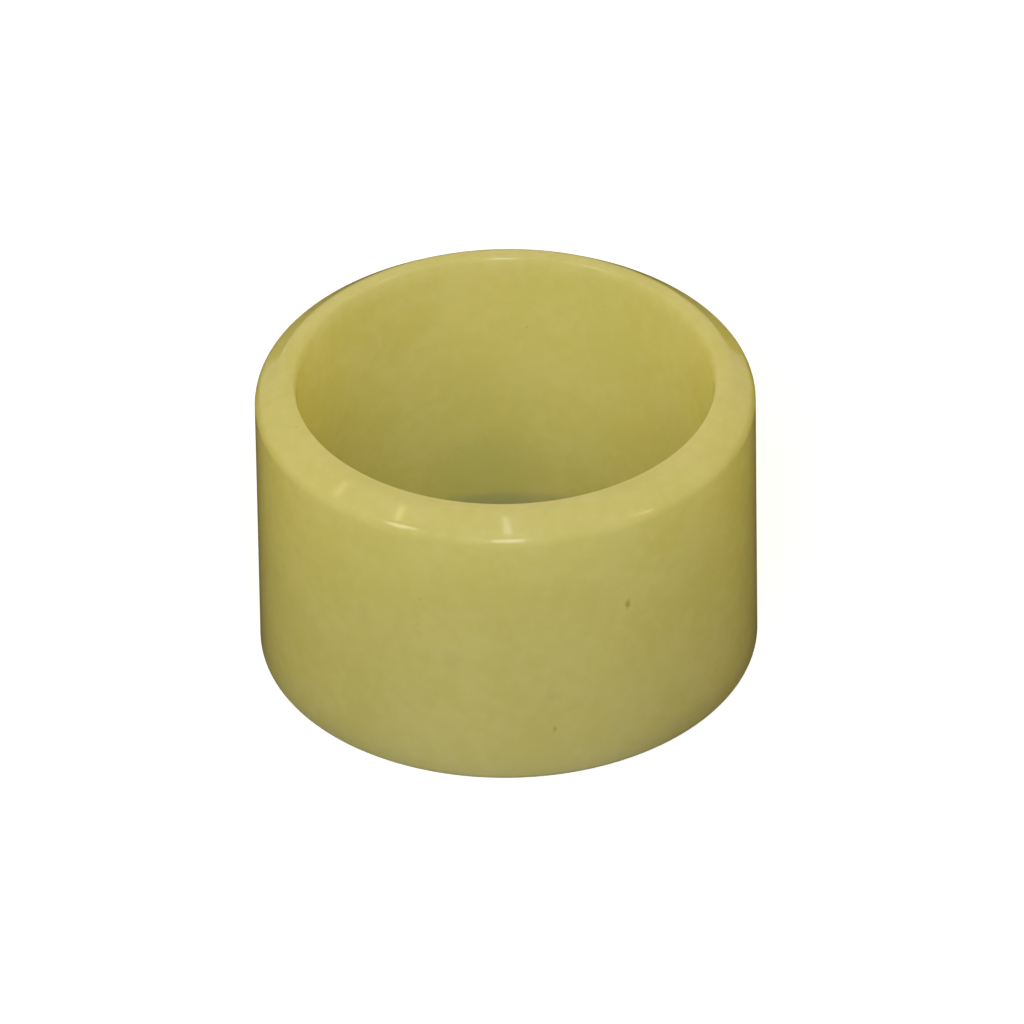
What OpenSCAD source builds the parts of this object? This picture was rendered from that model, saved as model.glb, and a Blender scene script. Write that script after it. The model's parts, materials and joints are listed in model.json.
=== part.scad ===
// Plain sleeve bushing: a one-piece plastic ring that is pressed into a housing and carries a shaft or pin.
// Millimetres. The axis is Z. The plain end stands on Z = 0 and the chamfered lead-in end is up.

/* [Sleeve] */
// Diameter of the bore, which runs on the shaft
bore_d = 40; // [10:0.5:120]
// Thickness of the wall between the bore and the outside
wall = 4; // [3.5:0.1:12]
// Length along the axis
length = 30; // [8:0.5:120]

/* [Lead-in end] */
// Width of the chamfer round the outside, across the end face
lead_width = 2.4; // [0.8:0.05:2.8]
// Height of the chamfer, along the axis
lead_height = 1.8; // [0.6:0.05:4]
// Radius that runs the chamfer into the outside wall
lead_foot_radius = 1.6; // [0.2:0.1:2.5]
// Radius that runs the chamfer into the end face
lead_brow_radius = 1.8; // [0.2:0.1:2.4]

/* [Plain end] */
// Radius of the outside edge
plain_edge_radius = 0.6; // [0.2:0.1:2]

/* [Bore] */
// Radius that breaks the edge at both ends of the bore
bore_edge_radius = 0.4; // [0.1:0.05:0.8]

/* [Hidden] */
$fn = 180;
nylon_colour = "#b9b069";
bore_r = bore_d / 2;
outer_r = bore_r + wall;

// Corners of the wall's section, anticlockwise, each as [distance from the axis, height, edge radius]
wall_corners = [
    [bore_r, 0, bore_edge_radius],
    [outer_r, 0, plain_edge_radius],
    [outer_r, length - lead_height, lead_foot_radius],
    [outer_r - lead_width, length, lead_brow_radius],
    [bore_r, length, bore_edge_radius],
];

function point(corner) = [corner.x, corner.y];
function toward(from, to) = (to - from) / norm(to - from);

// The arc that rounds a convex corner, worked out from the corner and its two neighbours:
// [where it leaves the side before, where it meets the side after, its centre]
function edge_arc(before, corner, after) =
    let(
        p = point(corner),
        u = toward(p, point(before)),
        v = toward(p, point(after)),
        half_angle = acos(u * v) / 2,
        setback = corner.z / tan(half_angle),
        reach = corner.z / sin(half_angle)
    )
    [p + setback * u, p + setback * v, p + reach * toward([0, 0], u + v)];

// The slice of a disc between two points on its rim
module sector(start, end, centre) {
    intersection() {
        translate(centre) circle(r = norm(start - centre));
        polygon([centre, 2 * start - centre, 2 * end - centre]);
    }
}

// A convex section with a true arc at each corner: the outline cut short where the arcs begin and end,
// with a sector at each cut corner that fills it out to the arc
module rounded_section(corners) {
    n = len(corners);
    arcs = [for (i = [0 : n - 1]) edge_arc(corners[(i + n - 1) % n], corners[i], corners[(i + 1) % n])];
    polygon([for (arc = arcs) each [arc[0], arc[1]]]);
    for (arc = arcs) sector(arc[0], arc[1], arc[2]);
}

module bushing() {
    color(nylon_colour) rotate_extrude() rounded_section(wall_corners);
}

bushing();
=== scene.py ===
"""The looks of a sleeve bushing: a ring of natural nylon, yellowed with age, standing on its plain end."""
import json
import math

import bpy
import numpy as np
from mathutils import Matrix, Vector


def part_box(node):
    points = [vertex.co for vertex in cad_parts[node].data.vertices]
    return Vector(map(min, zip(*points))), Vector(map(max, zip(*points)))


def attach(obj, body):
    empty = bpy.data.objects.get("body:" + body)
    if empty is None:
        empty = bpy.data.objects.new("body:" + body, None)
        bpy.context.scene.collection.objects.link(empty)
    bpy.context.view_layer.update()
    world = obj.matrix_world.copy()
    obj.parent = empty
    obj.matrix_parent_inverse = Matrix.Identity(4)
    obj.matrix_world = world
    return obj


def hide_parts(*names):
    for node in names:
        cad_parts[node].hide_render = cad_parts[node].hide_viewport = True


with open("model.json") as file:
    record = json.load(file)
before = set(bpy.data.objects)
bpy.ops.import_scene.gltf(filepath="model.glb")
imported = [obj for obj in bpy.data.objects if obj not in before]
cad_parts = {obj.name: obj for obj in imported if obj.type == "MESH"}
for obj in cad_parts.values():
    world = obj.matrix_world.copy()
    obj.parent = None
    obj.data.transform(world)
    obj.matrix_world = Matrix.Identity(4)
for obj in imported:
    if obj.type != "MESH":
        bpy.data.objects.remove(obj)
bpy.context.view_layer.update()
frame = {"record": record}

# Sizes that the frame gives, in metres
MM = 0.001
mounts = {mount["name"]: mount for mount in frame["record"]["mounts"]}
low_corner, high_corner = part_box("bushing")
LENGTH = high_corner.z - low_corner.z
BORE_R = mounts["bore"]["dims"]["r_mm"] * MM
OUTER_R = mounts["outer_seat"]["dims"]["r_mm"] * MM
SEAT_LENGTH = mounts["outer_seat"]["dims"]["length_mm"] * MM
PLAIN_EDGE_R = mounts["outer_seat"]["pos_m"][2] - SEAT_LENGTH / 2
BORE_EDGE_R = (LENGTH - mounts["bore"]["dims"]["length_mm"] * MM) / 2
MIDDLE = Vector((0, 0, LENGTH / 2))

# The lead-in chamfer, as on the solid
LEAD_WIDTH = 2.4 * MM
LEAD_HEIGHT = 1.8 * MM
LEAD_FOOT_R = 1.6 * MM
LEAD_BROW_R = 1.8 * MM
# Depth to which the bore's upper edge is worn soft
MOUTH_DEPTH = 1.6 * MM

# Steps of the ring's grid, and how its lines crowd at each pit: their number, and their reach in half sizes
AROUND_STEPS = 480
ARC_STEPS = 10
SIDE_STEPS = {"plain_end": 6, "outside": 40, "chamfer": 10, "lead_end": 6, "bore": 30}
PIT_LINES = 13
PIT_REACH = 2.4

# Small flaws in the outside wall: angle from the front in degrees, height, half width, half height, depth
PITS = {
    "brown_speck": (28.3, 18.6 * MM, 0.23 * MM, 0.50 * MM, 0.04 * MM),
    "dark_speck": (10.2, 5.7 * MM, 0.18 * MM, 0.30 * MM, 0.05 * MM),
}
# Faint smudges on the outside wall: angle from the front in degrees, height, half width, half height
SMUDGES = {
    "left_smudge": (-35.6, 17.2 * MM, 0.6 * MM, 1.0 * MM),
    "middle_smudge": (-13.4, 14.0 * MM, 0.8 * MM, 0.9 * MM),
    "low_smudge": (9.2, 9.8 * MM, 0.5 * MM, 0.9 * MM),
}
# How far the tint of a speck or smudge reaches, in its half sizes
TINT_REACH = 1.6
# Share of a blot's half sizes within which its mask is full
BLOT_CORE = 0.25
# Painted shade, a grey-green darkening low on the far side of the bore where it lies in shade: angle from the
# front in degrees, height
PAINTED_BORE_SHADE = (187, 4.5 * MM)
# Its half sizes across, through the wall and up; it stops short of the outside
PAINTED_BORE_SHADE_SIZE = (8.8 * MM, 3.4 * MM, 7.2 * MM)

# Nylon tones, in linear light
STRAW = (0.552, 0.524, 0.175, 1)
AMBER = (0.518, 0.490, 0.146, 1)
BROWN = (0.30, 0.19, 0.04, 1)
SOOT = (0.24, 0.20, 0.07, 1)
GREY_FILM = (0.46, 0.43, 0.15, 1)
# Grey-green of the painted shade low in the bore
BORE_SHADE_GREEN = (0.38, 0.42, 0.14, 1)
# How strongly each mark tints the nylon
GRIT_SHARE = 0.2
SMUDGE_SHARE = 0.35
# The next share is for the painted shade low in the bore
BORE_SHADE_SHARE = 0.6
BROWN_SHARE = 0.6
SOOT_SHARE = 0.5
# Patterns in the nylon: cells per millimetre, levels of finer detail
CLOUD = (0.16, 2.0)
MOTTLE = (0.7, 5.0)
WANDER = (2.2, 2.0)
WAVES = (0.35, 2.0)
# Sum of cloud and mottle at which the nylon is straw, and at which it is amber
TONE_RANGE = (0.7, 1.3)
# Full range over which a mark's edge wanders, in millimetres
WANDER_RANGE = 0.5
# Grains in the nylon: cells per millimetre, and where a grain's edge begins and ends in cells from its middle
GRIT_SCALE = 0.22
GRAIN_EDGE = (0.02, 0.05)
# Tool marks: cells round the turn and along the section, then their noise
TOOL_RING_CELLS = (3.0, 420.0, 1.0)
TOOL_RINGS = (1.0, 3.0)
# Relief: shares of the tool rings and the waves, and the strength and depth of the bump
RING_RELIEF = 0.12
WAVE_RELIEF = 0.35
BUMP_STRENGTH = 0.25
BUMP_DEPTH = 0.03 * MM
# Dullness of clean nylon, and what the mottle and the smudges add to it
CLEAN_DULLNESS = 0.08
MOTTLE_DULLNESS = 0.04
SMUDGE_DULLNESS = 0.15
# How far light travels inside the nylon, the same for red and green and shorter for blue
SCATTER = 60 * MM
SCATTER_BY_COLOUR = (1.0, 1.0, 0.4)

# The floor: half its side, and the hair's breadth that it lies below the bushing
FLOOR_HALF = 2.0
FLOOR_DROP = 0.02 * MM
# As the camera sees it: a grey that takes the shadow, and the light added to make it white
SHADOW_GREY = (0.40, 0.40, 0.40, 1)
FLOOR_WHITE = 0.80
# As other light meets it: the table's own grey, its grey in reflections, and the light that it gives off
TABLE_GREY = (0.10, 0.09, 0.065, 1)
TABLE_IN_REFLECTIONS = (0.02, 0.02, 0.02, 1)
TABLE_LIGHT = (0.19, 0.1805, 0.133, 1)
NO_LIGHT = (0, 0, 0, 1)
# Shade on the table beside the bushing: angle from the front in degrees, share of the light that it takes
TABLE_SHADES = {"right_shade": (62, 0.95), "left_shade": (-64, 0.55)}
# Its distance from the axis, and its half sizes
SHADE_DISTANCE = 1.3 * OUTER_R
SHADE_SIZE = (28 * MM, 28 * MM, 28 * MM)

# Light of the room, and the shares of white that reflections find in the floor and in the room
ROOM_LIGHT = (1.0, 0.88, 0.7, 1)
ROOM_STRENGTH = 0.02
FLOOR_IN_GLOSS = 0.02
ROOM_IN_GLOSS = 0.6

# Lamps: their distance, and their colours
LAMP_DISTANCE = 1.2
WHITE = (1.0, 1.0, 1.0)
CREAM = (1.0, 0.88, 0.66)
WARM = (1.0, 0.78, 0.42)
ORANGE = (1.0, 0.75, 0.10)
ROSE = (1.0, 0.58, 0.32)
# Wide soft lamps that shade the bushing: azimuth, elevation and width in degrees, irradiance there, colour
SOFTBOXES = {
    "front_softbox": (-2, 48, 44, 2.18, WHITE),
    "left_softbox": (-50, 33, 40, 0.34, WARM),
    "right_softbox": (100, 36, 40, 0.36, ORANGE),
    "back_left_softbox": (-125, 15, 40, 1.10, ORANGE),
    "back_right_softbox": (125, 15, 40, 0.90, ORANGE),
    "back_softbox": (180, 28, 40, 0.28, WHITE),
}
# Small lamps that glint on the shoulder: azimuth, elevation, width and height in degrees, irradiance, colour
GLINT_LAMPS = {
    "front_window": (0.4, 22, 14, 24, 0.56, WHITE),
    "left_window": (-49.6, 32.8, 11, 24, 0.50, CREAM),
    "right_window": (63, 27, 6, 24, 0.27, ROSE),
    "overhead_bulb": (0, 70.3, 0.8, 6, 0.020, WHITE),
    "left_high_bulb": (-70.5, 59.6, 0.8, 6, 0.016, WARM),
    "left_back_bulb": (-97.5, 46.1, 0.8, 6, 0.012, WARM),
    "right_high_bulb": (74, 53, 0.8, 6, 0.026, ROSE),
}

# Camera: seen from far off with a long lens, turned a little on its own axis
CAMERA_ELEVATION = math.radians(36.0)
CAMERA_ROLL = math.radians(-0.9)
CAMERA_DISTANCE = 80 * OUTER_R
PICTURE_PX = 1024
RADIUS_PX = 249.6
CENTRE_PX = (506.9, 505.9)
SENSOR_MM = 36.0


def round_the_axis(angle_deg, height, radius=OUTER_R):
    """A point by its angle from the front, its height and its distance from the axis."""
    angle = math.radians(angle_deg)
    return Vector((radius * math.sin(angle), -radius * math.cos(angle), height))


def crowded(lines, places, reaches):
    """Grid lines with more of them about each place: PIT_LINES evenly spaced ones from -reach to +reach."""
    extra = [place + np.linspace(-reach, reach, PIT_LINES) for place, reach in zip(places, reaches)]
    return np.unique(np.concatenate([lines, *extra]))


def side_shares(steps):
    """Points along a straight side, as shares of its length: a half cosine crowds them at both ends."""
    return (1 - np.cos(np.linspace(0, math.pi, steps, endpoint=False))) / 2


def rounded_outline(corners, radii, shares):
    """Outline of a convex section with its corners rounded, as an array of (distance from the axis, height).

    Each corner gives an arc that touches both its sides: it starts a setback of radius / tan(half the angle)
    before the corner and turns about a centre on the corner's bisector. Between two arcs the side is a
    straight run, with a point at each of that side's shares of its length.
    """
    corners = np.asarray(corners, float)
    before = np.roll(corners, 1, axis=0) - corners
    after = np.roll(corners, -1, axis=0) - corners
    before /= np.linalg.norm(before, axis=1, keepdims=True)
    after /= np.linalg.norm(after, axis=1, keepdims=True)
    half = np.arccos((before * after).sum(1)) / 2
    radii = np.asarray(radii, float)
    setback = (radii / np.tan(half))[:, None]
    bisector = (before + after) / np.linalg.norm(before + after, axis=1, keepdims=True)
    centres = corners + bisector * (radii / np.sin(half))[:, None]
    starts = corners + before * setback
    ends = corners + after * setback
    runs = []
    for i, side in enumerate(shares):
        spoke = starts[i] - centres[i]
        turn = np.linspace(0, math.pi - 2 * half[i], ARC_STEPS, endpoint=False)[:, None]
        across = np.array([-spoke[1], spoke[0]])
        runs.append(centres[i] + np.cos(turn) * spoke + np.sin(turn) * across)
        runs.append(ends[i] + side[:, None] * (starts[(i + 1) % len(corners)] - ends[i]))
    return np.concatenate(runs)


def wall_section():
    """The wall's section, anticlockwise from the bore's lower edge.

    The points on the outside also crowd at the pits. The arc at the bore's upper edge is drawn out down
    the bore to MOUTH_DEPTH, which makes it a quarter of an ellipse.
    """
    shares = {side: side_shares(steps) for side, steps in SIDE_STEPS.items()}
    pit_shares = [(pit[1] - PLAIN_EDGE_R) / SEAT_LENGTH for pit in PITS.values()]
    reaches = [PIT_REACH * pit[3] / SEAT_LENGTH for pit in PITS.values()]
    shares["outside"] = crowded(shares["outside"], pit_shares, reaches)
    corners = [
        (BORE_R, 0),
        (OUTER_R, 0),
        (OUTER_R, LENGTH - LEAD_HEIGHT),
        (OUTER_R - LEAD_WIDTH, LENGTH),
        (BORE_R, LENGTH),
    ]
    radii = [BORE_EDGE_R, PLAIN_EDGE_R, LEAD_FOOT_R, LEAD_BROW_R, BORE_EDGE_R]
    section = rounded_outline(corners, radii, list(shares.values()))
    in_bore = section[:, 0] < BORE_R + BORE_EDGE_R
    solid_heights = (0, BORE_EDGE_R, LENGTH - BORE_EDGE_R, LENGTH)
    worn_heights = (0, BORE_EDGE_R, LENGTH - MOUTH_DEPTH, LENGTH)
    section[in_bore, 1] = np.interp(section[in_bore, 1], solid_heights, worn_heights)
    return section


def pit_depth(angle, radius, height):
    """How deep the outside wall is sunk at each grid point: a bell curve over each pit's half sizes."""
    outside = radius > (BORE_R + OUTER_R) / 2
    depth = np.zeros(np.broadcast(angle, height).shape)
    for pit_angle, pit_height, half_width, half_height, deepest in PITS.values():
        across = (angle - math.radians(pit_angle)) * OUTER_R / half_width
        up = (height - pit_height) / half_height
        depth += deepest * np.exp(-(across**2) - up**2)
    return depth * outside


def make_ring(name):
    """The bushing's skin: the wall's section carried round the axis.

    A grid point is (r sin a, -r cos a, z), where (r, z) runs along the closed section and a runs once round
    the axis from the back, so both ways the last row joins the first. The map lays the grid flat: across is
    the share of the turn, and up is the share of the section's length.
    """
    section = wall_section()
    even = np.linspace(-math.pi, math.pi, AROUND_STEPS, endpoint=False)
    pit_angles = [math.radians(pit[0]) for pit in PITS.values()]
    turns = crowded(even, pit_angles, [PIT_REACH * pit[2] / OUTER_R for pit in PITS.values()])
    n_along, n_around = len(section), len(turns)
    angle = turns[:, None]
    radius, height = section[None, :, 0], section[None, :, 1]
    sunk = radius - pit_depth(angle, radius, height)
    points = np.stack([sunk * np.sin(angle), -sunk * np.cos(angle), np.broadcast_to(height, sunk.shape)], -1)

    i, j = np.meshgrid(np.arange(n_around), np.arange(n_along), indexing="ij")
    here = i * n_along
    beside = (i + 1) % n_around * n_along
    next_j = (j + 1) % n_along
    quads = np.stack([here + j, beside + j, beside + next_j, here + next_j], -1)

    step = np.linalg.norm(np.roll(section, -1, axis=0) - section, axis=1)
    run = np.concatenate([[0], np.cumsum(step)]) / step.sum()
    turn = np.append((turns + math.pi) / (2 * math.pi), 1)
    flat = np.stack(
        [
            np.stack([turn[i], run[j]], -1),
            np.stack([turn[i + 1], run[j]], -1),
            np.stack([turn[i + 1], run[j + 1]], -1),
            np.stack([turn[i], run[j + 1]], -1),
        ],
        2,
    )

    mesh = bpy.data.meshes.new(name)
    mesh.from_pydata(points.reshape(-1, 3).tolist(), [], quads.reshape(-1, 4).tolist())
    mesh.uv_layers.new(name="unrolled").uv.foreach_set("vector", flat.astype(np.float32).ravel())
    mesh.polygons.foreach_set("use_smooth", np.ones(len(mesh.polygons), bool))
    mesh.update()
    ring = bpy.data.objects.new(name, mesh)
    bpy.context.scene.collection.objects.link(ring)
    return ring


def new_material(name):
    """An empty node material and its node tree."""
    material = bpy.data.materials.new(name)
    material.use_nodes = True
    material.node_tree.nodes.clear()
    return material, material.node_tree


def add(tree, kind, inputs=None, **settings):
    """One node: its settings by name, and its inputs by name or number, each a value or a socket to link."""
    node = tree.nodes.new(kind)
    for key, value in settings.items():
        setattr(node, key, value)
    for key, value in (inputs or {}).items():
        if isinstance(value, bpy.types.NodeSocket):
            tree.links.new(value, node.inputs[key])
        else:
            node.inputs[key].default_value = value
    return node


def number(tree, operation, *values, clamp=False):
    """The result of one operation on numbers."""
    node = add(tree, "ShaderNodeMath", dict(enumerate(values)), operation=operation, use_clamp=clamp)
    return node.outputs["Value"]


def vector(tree, operation, inputs, output="Vector"):
    """The result of one operation on vectors."""
    return add(tree, "ShaderNodeVectorMath", inputs, operation=operation).outputs[output]


def noise(tree, place, scale, detail, output="Fac"):
    """Cloudy noise, with a number of cells per unit of place."""
    inputs = {"Vector": place, "Scale": scale, "Detail": detail}
    return add(tree, "ShaderNodeTexNoise", inputs).outputs[output]


def ramp(tree, value, low, high, to_low=0.0, to_high=1.0):
    """value taken smoothly from the range low to high onto to_low to to_high."""
    inputs = {"Value": value, "From Min": low, "From Max": high, "To Min": to_low, "To Max": to_high}
    return add(tree, "ShaderNodeMapRange", inputs, interpolation_type="SMOOTHSTEP").outputs["Result"]


def blend(tree, factor, a, b):
    """Colour a at factor 0 and colour b at factor 1; the node's colour sockets are numbers 6, 7 and 2."""
    inputs = {0: factor, 6: a, 7: b}
    return add(tree, "ShaderNodeMix", inputs, data_type="RGBA", clamp_factor=True).outputs[2]


def stain(tree, colour, mask, share, tint):
    """The colour, taken towards the tint by a share of the mask."""
    return blend(tree, number(tree, "MULTIPLY", mask, share), colour, tint)


def millimetres(tree):
    """The object's own coordinates, in millimetres."""
    place = tree.nodes.new("ShaderNodeTexCoord").outputs["Object"]
    return vector(tree, "SCALE", {0: place, "Scale": 1 / MM})


def blot_group():
    """A soft blot: 1 about Centre, falling smoothly to 0 on an ellipsoid of half sizes Size, in mm."""
    tree = bpy.data.node_groups.new("soft_blot", "ShaderNodeTree")
    for name in ("Place", "Centre", "Size"):
        tree.interface.new_socket(name, in_out="INPUT", socket_type="NodeSocketVector")
    tree.interface.new_socket("Mask", in_out="OUTPUT", socket_type="NodeSocketFloat")
    source = tree.nodes.new("NodeGroupInput").outputs
    offset = vector(tree, "SUBTRACT", {0: source["Place"], 1: source["Centre"]})
    scaled = vector(tree, "DIVIDE", {0: offset, 1: source["Size"]})
    distance = vector(tree, "LENGTH", {0: scaled}, "Value")
    sink = tree.nodes.new("NodeGroupOutput")
    tree.links.new(ramp(tree, distance, BLOT_CORE, 1.0, 1.0, 0.0), sink.inputs["Mask"])
    return tree


def blot_mask(tree, group, place, centre, half_sizes):
    """The mask of one soft blot."""
    inputs = {"Place": place, "Centre": centre / MM, "Size": Vector(half_sizes) / MM}
    return add(tree, "ShaderNodeGroup", inputs, node_tree=group).outputs["Mask"]


def mark_mask(tree, group, place, marks):
    """The masks of several specks or smudges on the outside wall, joined by the larger of them."""
    total = 0.0
    for angle_deg, height, half_width, half_height, *_ in marks:
        half_sizes = TINT_REACH * Vector((half_width, half_width, half_height))
        mask = blot_mask(tree, group, place, round_the_axis(angle_deg, height), half_sizes)
        total = number(tree, "MAXIMUM", total, mask)
    return total


def nylon_material(group):
    """Waxy yellowed nylon: cloudy tones, a few inclusions, and the fine rings that a turning tool leaves."""
    material, tree = new_material("yellowed_nylon")
    place = millimetres(tree)
    mottle = noise(tree, place, *MOTTLE)
    cloudy = number(tree, "ADD", noise(tree, place, *CLOUD), mottle)
    colour = blend(tree, ramp(tree, cloudy, *TONE_RANGE), STRAW, AMBER)

    grit = add(tree, "ShaderNodeTexVoronoi", {"Vector": place, "Scale": GRIT_SCALE, "Randomness": 1.0})
    grains = ramp(tree, grit.outputs["Distance"], *GRAIN_EDGE, 1.0, 0.0)
    colour = stain(tree, colour, grains, GRIT_SHARE, BROWN)

    wander = noise(tree, place, *WANDER, "Color")
    centred = vector(tree, "SUBTRACT", {0: wander, 1: (0.5, 0.5, 0.5)})
    ragged = vector(tree, "ADD", {0: place, 1: vector(tree, "SCALE", {0: centred, "Scale": WANDER_RANGE})})
    smudge = mark_mask(tree, group, ragged, SMUDGES.values())
    colour = stain(tree, colour, smudge, SMUDGE_SHARE, GREY_FILM)
    # Painted shade: a grey-green darkening low on the far side of the bore, where it lies in shade
    bore_shade = blot_mask(tree, group, ragged, round_the_axis(*PAINTED_BORE_SHADE, BORE_R), PAINTED_BORE_SHADE_SIZE)
    colour = stain(tree, colour, bore_shade, BORE_SHADE_SHARE, BORE_SHADE_GREEN)
    brown = mark_mask(tree, group, ragged, [PITS["brown_speck"]])
    colour = stain(tree, colour, brown, BROWN_SHARE, BROWN)
    dark = mark_mask(tree, group, ragged, [PITS["dark_speck"]])
    colour = stain(tree, colour, dark, SOOT_SHARE, SOOT)

    unrolled = add(tree, "ShaderNodeUVMap", uv_map="unrolled").outputs["UV"]
    cells = add(tree, "ShaderNodeMapping", {"Vector": unrolled, "Scale": TOOL_RING_CELLS}).outputs["Vector"]
    tool_rings = number(tree, "MULTIPLY", noise(tree, cells, *TOOL_RINGS), RING_RELIEF)
    waves = number(tree, "MULTIPLY", noise(tree, place, *WAVES), WAVE_RELIEF)
    relief = number(tree, "ADD", tool_rings, waves)
    bump_inputs = {"Height": relief, "Strength": BUMP_STRENGTH, "Distance": BUMP_DEPTH}
    bump = add(tree, "ShaderNodeBump", bump_inputs)

    dullness = number(tree, "ADD", number(tree, "MULTIPLY", mottle, MOTTLE_DULLNESS), CLEAN_DULLNESS)
    dullness = number(tree, "ADD", dullness, number(tree, "MULTIPLY", smudge, SMUDGE_DULLNESS))

    surface = add(
        tree,
        "ShaderNodeBsdfPrincipled",
        {
            "Base Color": colour,
            "Roughness": dullness,
            "Normal": bump.outputs["Normal"],
            "IOR": 1.53,
            "Diffuse Roughness": 0.5,
            "Specular IOR Level": 0.3,
            "Subsurface Weight": 0.5,
            "Subsurface Radius": SCATTER_BY_COLOUR,
            "Subsurface Scale": SCATTER,
        },
        subsurface_method="RANDOM_WALK",
    )
    add(tree, "ShaderNodeOutputMaterial", {"Surface": surface.outputs["BSDF"]})
    return material


def pale_rays(tree, glossy_share):
    """How much white a ray meets: all for the camera's and transmitted rays, a share for glossy ones."""
    rays = tree.nodes.new("ShaderNodeLightPath").outputs
    glossy = number(tree, "MULTIPLY", rays["Is Glossy Ray"], glossy_share)
    seen = number(tree, "MAXIMUM", rays["Is Camera Ray"], glossy)
    return number(tree, "MAXIMUM", seen, rays["Is Transmission Ray"])


def floor_material(group):
    """White to the camera, with the bushing's shadow; to other light a warm grey table, dark in reflections.

    The table gives off a little light of its own to bounced rays, so the foot of the wall doesn't go black.
    It gives less beside the bushing, where it lies in shade.
    """
    material, tree = new_material("pale_floor")
    rays = tree.nodes.new("ShaderNodeLightPath").outputs
    place = millimetres(tree)
    lit = 1.0
    for angle_deg, share in TABLE_SHADES.values():
        mask = blot_mask(tree, group, place, round_the_axis(angle_deg, 0, SHADE_DISTANCE), SHADE_SIZE)
        lit = number(tree, "SUBTRACT", lit, number(tree, "MULTIPLY", mask, share), clamp=True)
    bounced = number(tree, "MULTIPLY", rays["Is Diffuse Ray"], lit)
    glow = blend(tree, bounced, NO_LIGHT, TABLE_LIGHT)
    grey = blend(tree, rays["Is Glossy Ray"], TABLE_GREY, TABLE_IN_REFLECTIONS)
    table_top = add(tree, "ShaderNodeBsdfDiffuse", {"Color": grey}).outputs[0]
    table_glow = add(tree, "ShaderNodeEmission", {"Color": glow, "Strength": 1.0}).outputs[0]
    table = add(tree, "ShaderNodeAddShader", {0: table_top, 1: table_glow}).outputs[0]

    shadow = add(tree, "ShaderNodeBsdfDiffuse", {"Color": SHADOW_GREY}).outputs[0]
    lift = add(tree, "ShaderNodeEmission", {"Color": (*WHITE, 1), "Strength": FLOOR_WHITE}).outputs[0]
    white = add(tree, "ShaderNodeAddShader", {0: shadow, 1: lift}).outputs[0]
    pale = pale_rays(tree, FLOOR_IN_GLOSS)
    above = add(tree, "ShaderNodeMixShader", {0: pale, 1: table, 2: white}).outputs[0]

    below = tree.nodes.new("ShaderNodeBsdfTransparent").outputs[0]
    behind = tree.nodes.new("ShaderNodeNewGeometry").outputs["Backfacing"]
    sides = add(tree, "ShaderNodeMixShader", {0: behind, 1: above, 2: below}).outputs[0]
    add(tree, "ShaderNodeOutputMaterial", {"Surface": sides})
    return material


def make_floor(group):
    """A wide flat sheet under the bushing, a hair below it so that the two faces don't share a plane."""
    signs = [(-1, -1), (1, -1), (1, 1), (-1, 1)]
    corners = [(x * FLOOR_HALF, y * FLOOR_HALF, -FLOOR_DROP) for x, y in signs]
    mesh = bpy.data.meshes.new("floor")
    mesh.from_pydata(corners, [], [(0, 1, 2, 3)])
    floor = bpy.data.objects.new("floor", mesh)
    bpy.context.scene.collection.objects.link(floor)
    mesh.materials.append(floor_material(group))


def make_world():
    """Even room light, and white behind the bushing."""
    world = bpy.data.worlds.new("room")
    world.use_nodes = True
    tree = world.node_tree
    tree.nodes.clear()
    room = add(tree, "ShaderNodeBackground", {"Color": ROOM_LIGHT, "Strength": ROOM_STRENGTH}).outputs[0]
    white = add(tree, "ShaderNodeBackground", {"Color": (*WHITE, 1), "Strength": 1.0}).outputs[0]
    pale = pale_rays(tree, ROOM_IN_GLOSS)
    mix = add(tree, "ShaderNodeMixShader", {0: pale, 1: room, 2: white}).outputs[0]
    add(tree, "ShaderNodeOutputWorld", {"Surface": mix})
    bpy.context.scene.world = world


def towards_lamp(azimuth_deg, elevation_deg):
    """Unit vector from the bushing towards a lamp: azimuth from the front, positive to the right."""
    azimuth, elevation = math.radians(azimuth_deg), math.radians(elevation_deg)
    flat = math.cos(elevation)
    return Vector((flat * math.sin(azimuth), -flat * math.cos(azimuth), math.sin(elevation)))


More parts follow.
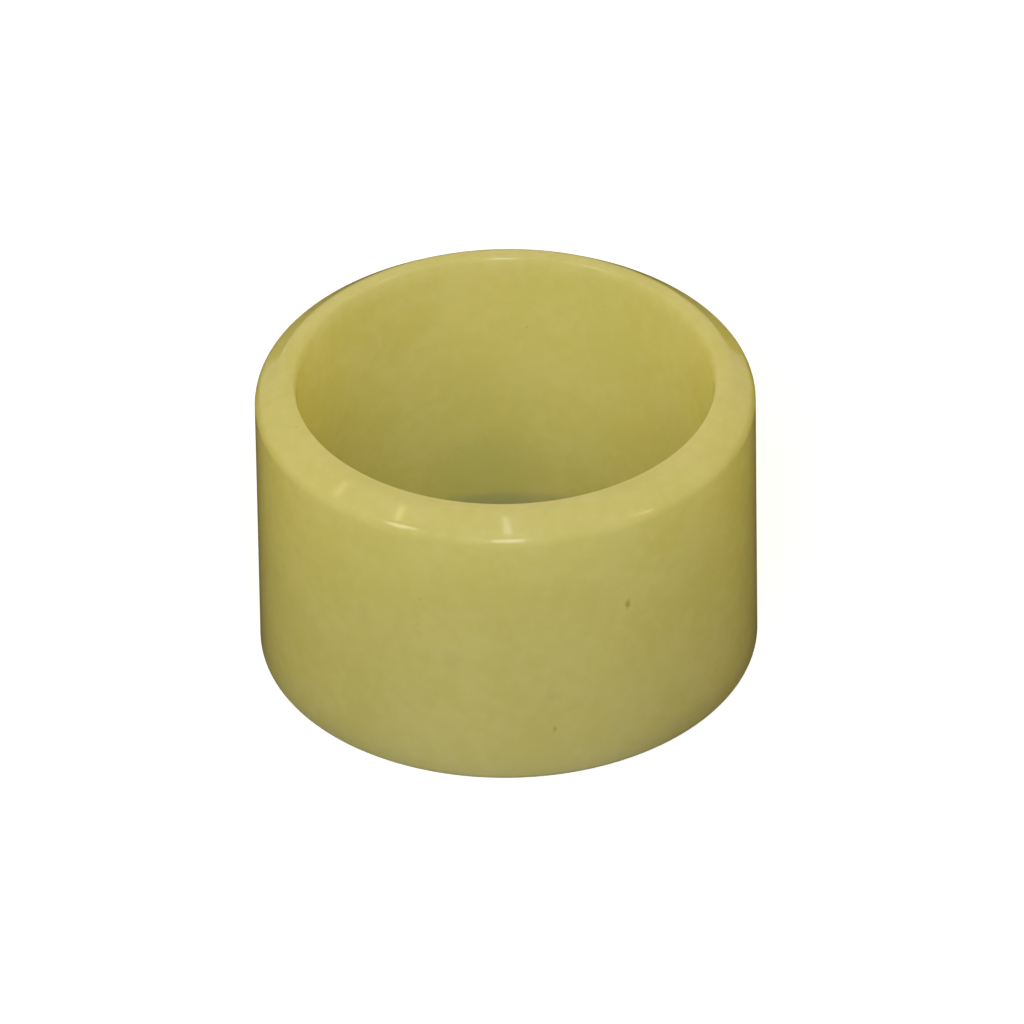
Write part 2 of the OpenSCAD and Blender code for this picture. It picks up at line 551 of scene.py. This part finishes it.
def add_lamp(name, azimuth, elevation, width, height, irradiance, colour):
    """An oval lamp that faces the bushing; its power is pi x distance squared x irradiance there."""
    lamp = bpy.data.lights.new(name, "AREA")
    lamp.shape = "ELLIPSE"
    lamp.size = 2 * LAMP_DISTANCE * math.tan(math.radians(width) / 2)
    lamp.size_y = 2 * LAMP_DISTANCE * math.tan(math.radians(height) / 2)
    lamp.energy = irradiance * math.pi * LAMP_DISTANCE**2
    lamp.color = colour
    holder = bpy.data.objects.new(name, lamp)
    towards = towards_lamp(azimuth, elevation)
    holder.location = MIDDLE + towards * LAMP_DISTANCE
    holder.rotation_mode = "QUATERNION"
    holder.rotation_quaternion = towards.to_track_quat("Z", "Y")
    bpy.context.scene.collection.objects.link(holder)
    return holder


def make_lamps():
    """The softboxes shade and stay out of the reflections, where the small lamps show."""
    for name, (azimuth, elevation, width, irradiance, colour) in SOFTBOXES.items():
        softbox = add_lamp(name, azimuth, elevation, width, width, irradiance, colour)
        softbox.visible_glossy = False
    for name, values in GLINT_LAMPS.items():
        add_lamp(name, *values)


def make_camera():
    """A far camera with a long lens, moved in its picture plane so that the bushing lands on CENTRE_PX.

    The lens makes the outside radius RADIUS_PX long in the picture, at the distance of the bushing's middle.
    """
    data = bpy.data.cameras.new("camera")
    data.sensor_width = SENSOR_MM
    data.lens = SENSOR_MM * RADIUS_PX * (CAMERA_DISTANCE / OUTER_R) / PICTURE_PX
    camera = bpy.data.objects.new("camera", data)
    back = Vector((0, -math.cos(CAMERA_ELEVATION), math.sin(CAMERA_ELEVATION)))
    turn = (-back).to_track_quat("-Z", "Y") @ Matrix.Rotation(CAMERA_ROLL, 4, "Z").to_quaternion()
    metres_per_px = OUTER_R / RADIUS_PX
    aside = (PICTURE_PX / 2 - CENTRE_PX[0]) * metres_per_px
    down = (PICTURE_PX / 2 - CENTRE_PX[1]) * metres_per_px
    camera.rotation_mode = "QUATERNION"
    camera.rotation_quaternion = turn
    camera.location = MIDDLE + back * CAMERA_DISTANCE + turn @ Vector((aside, -down, 0))
    bpy.context.scene.collection.objects.link(camera)
    bpy.context.scene.camera = camera


blot = blot_group()
ring = make_ring("nylon_ring")
ring.data.materials.append(nylon_material(blot))
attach(ring, "root")
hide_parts("bushing")

make_floor(blot)
make_world()
make_lamps()
make_camera()
bpy.context.scene.view_settings.view_transform = "Standard"
